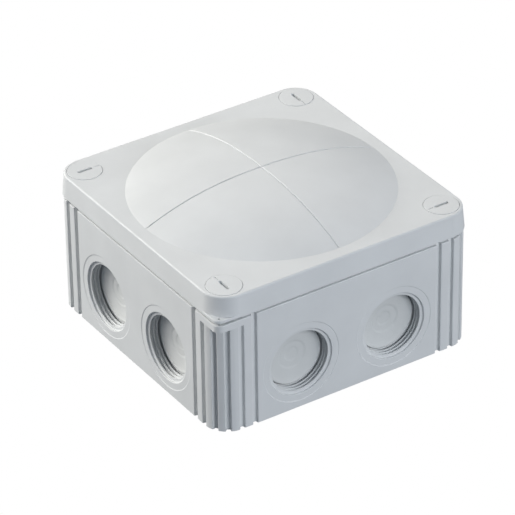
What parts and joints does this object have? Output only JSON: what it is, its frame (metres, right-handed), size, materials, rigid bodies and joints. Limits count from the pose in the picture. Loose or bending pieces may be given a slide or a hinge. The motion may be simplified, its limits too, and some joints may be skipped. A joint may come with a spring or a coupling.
{
  "type": "electrical junction box",
  "caption": "Square surface-mounted junction box with fluted corners, threaded cable entries, a domed lid on quarter-turn screws and a screw terminal inside.",
  "frame": {"origin": "centre of the wall side, where the four wall pads touch the wall", "axes": "+Z away from the wall through the lid, -Y the front side, +X the right-hand side"},
  "size_m": [0.11, 0.11, 0.066],
  "materials": {
    "housing": "light grey moulded plastic, satin with a fine texture",
    "screw": "light grey moulded plastic, a little smoother than the lid",
    "membrane": "light grey soft elastomer, matt",
    "seal": "dark grey elastomer, matt",
    "terminal": "off-white moulded insulation",
    "brass": "plain machined brass",
    "steel": "zinc plated steel"
  },
  "bodies": {
    "base": {"base_shell": "housing", "entry_membrane_front_left": "membrane", "entry_membrane_front_right": "membrane", "entry_membrane_right_front": "membrane", "entry_membrane_right_back": "membrane", "entry_membrane_back_right": "membrane", "entry_membrane_back_left": "membrane", "entry_membrane_left_back": "membrane", "entry_membrane_left_front": "membrane", "terminal_housing": "terminal", "terminal_clamp_1": "brass", "terminal_clamp_2": "brass", "terminal_clamp_3": "brass", "terminal_clamp_4": "brass", "terminal_clamp_5": "brass", "fixing_screw_left": "steel", "fixing_screw_right": "steel"},
    "lid": {"lid": "housing", "lid_seal": "seal"},
    "lid_screw_front_left": {"lid_screw_front_left": "screw"},
    "lid_screw_front_right": {"lid_screw_front_right": "screw"},
    "lid_screw_back_right": {"lid_screw_back_right": "screw"},
    "lid_screw_back_left": {"lid_screw_back_left": "screw"},
    "clamp_screw_1_front": {"clamp_screw_1_front": "steel"},
    "clamp_screw_1_back": {"clamp_screw_1_back": "steel"},
    "clamp_screw_2_front": {"clamp_screw_2_front": "steel"},
    "clamp_screw_2_back": {"clamp_screw_2_back": "steel"},
    "clamp_screw_3_front": {"clamp_screw_3_front": "steel"},
    "clamp_screw_3_back": {"clamp_screw_3_back": "steel"},
    "clamp_screw_4_front": {"clamp_screw_4_front": "steel"},
    "clamp_screw_4_back": {"clamp_screw_4_back": "steel"},
    "clamp_screw_5_front": {"clamp_screw_5_front": "steel"},
    "clamp_screw_5_back": {"clamp_screw_5_back": "steel"}
  },
  "joints": [
    {"name": "lid_lift", "type": "slide", "parent": "base", "child": "lid", "axis": [0, 0, 1], "range_m": [0, 0.06]},
    {"name": "lid_screw_turn_front_left", "type": "hinge", "parent": "lid", "child": "lid_screw_front_left", "pos_m": [-0.0463, -0.0463, 0.0572], "axis": [0, 0, 1], "range_deg": [0, 90]},
    {"name": "lid_screw_turn_front_right", "type": "hinge", "parent": "lid", "child": "lid_screw_front_right", "pos_m": [0.0463, -0.0463, 0.0572], "axis": [0, 0, 1], "range_deg": [0, 90]},
    {"name": "lid_screw_turn_back_right", "type": "hinge", "parent": "lid", "child": "lid_screw_back_right", "pos_m": [0.0463, 0.0463, 0.0572], "axis": [0, 0, 1], "range_deg": [0, 90]},
    {"name": "lid_screw_turn_back_left", "type": "hinge", "parent": "lid", "child": "lid_screw_back_left", "pos_m": [-0.0463, 0.0463, 0.0572], "axis": [0, 0, 1], "range_deg": [0, 90]},
    {"name": "clamp_screw_turn_1_front", "type": "hinge", "parent": "base", "child": "clamp_screw_1_front", "pos_m": [-0.0192, -0.0035, 0.0194], "axis": [0, 0, 1], "range_deg": [-1440, 0]},
    {"name": "clamp_screw_turn_1_back", "type": "hinge", "parent": "base", "child": "clamp_screw_1_back", "pos_m": [-0.0192, 0.0035, 0.0194], "axis": [0, 0, 1], "range_deg": [-1440, 0]},
    {"name": "clamp_screw_turn_2_front", "type": "hinge", "parent": "base", "child": "clamp_screw_2_front", "pos_m": [-0.0096, -0.0035, 0.0194], "axis": [0, 0, 1], "range_deg": [-1440, 0]},
    {"name": "clamp_screw_turn_2_back", "type": "hinge", "parent": "base", "child": "clamp_screw_2_back", "pos_m": [-0.0096, 0.0035, 0.0194], "axis": [0, 0, 1], "range_deg": [-1440, 0]},
    {"name": "clamp_screw_turn_3_front", "type": "hinge", "parent": "base", "child": "clamp_screw_3_front", "pos_m": [0, -0.0035, 0.0194], "axis": [0, 0, 1], "range_deg": [-1440, 0]},
    {"name": "clamp_screw_turn_3_back", "type": "hinge", "parent": "base", "child": "clamp_screw_3_back", "pos_m": [0, 0.0035, 0.0194], "axis": [0, 0, 1], "range_deg": [-1440, 0]},
    {"name": "clamp_screw_turn_4_front", "type": "hinge", "parent": "base", "child": "clamp_screw_4_front", "pos_m": [0.0096, -0.0035, 0.0194], "axis": [0, 0, 1], "range_deg": [-1440, 0]},
    {"name": "clamp_screw_turn_4_back", "type": "hinge", "parent": "base", "child": "clamp_screw_4_back", "pos_m": [0.0096, 0.0035, 0.0194], "axis": [0, 0, 1], "range_deg": [-1440, 0]},
    {"name": "clamp_screw_turn_5_front", "type": "hinge", "parent": "base", "child": "clamp_screw_5_front", "pos_m": [0.0192, -0.0035, 0.0194], "axis": [0, 0, 1], "range_deg": [-1440, 0]},
    {"name": "clamp_screw_turn_5_back", "type": "hinge", "parent": "base", "child": "clamp_screw_5_back", "pos_m": [0.0192, 0.0035, 0.0194], "axis": [0, 0, 1], "range_deg": [-1440, 0]}
  ]
}
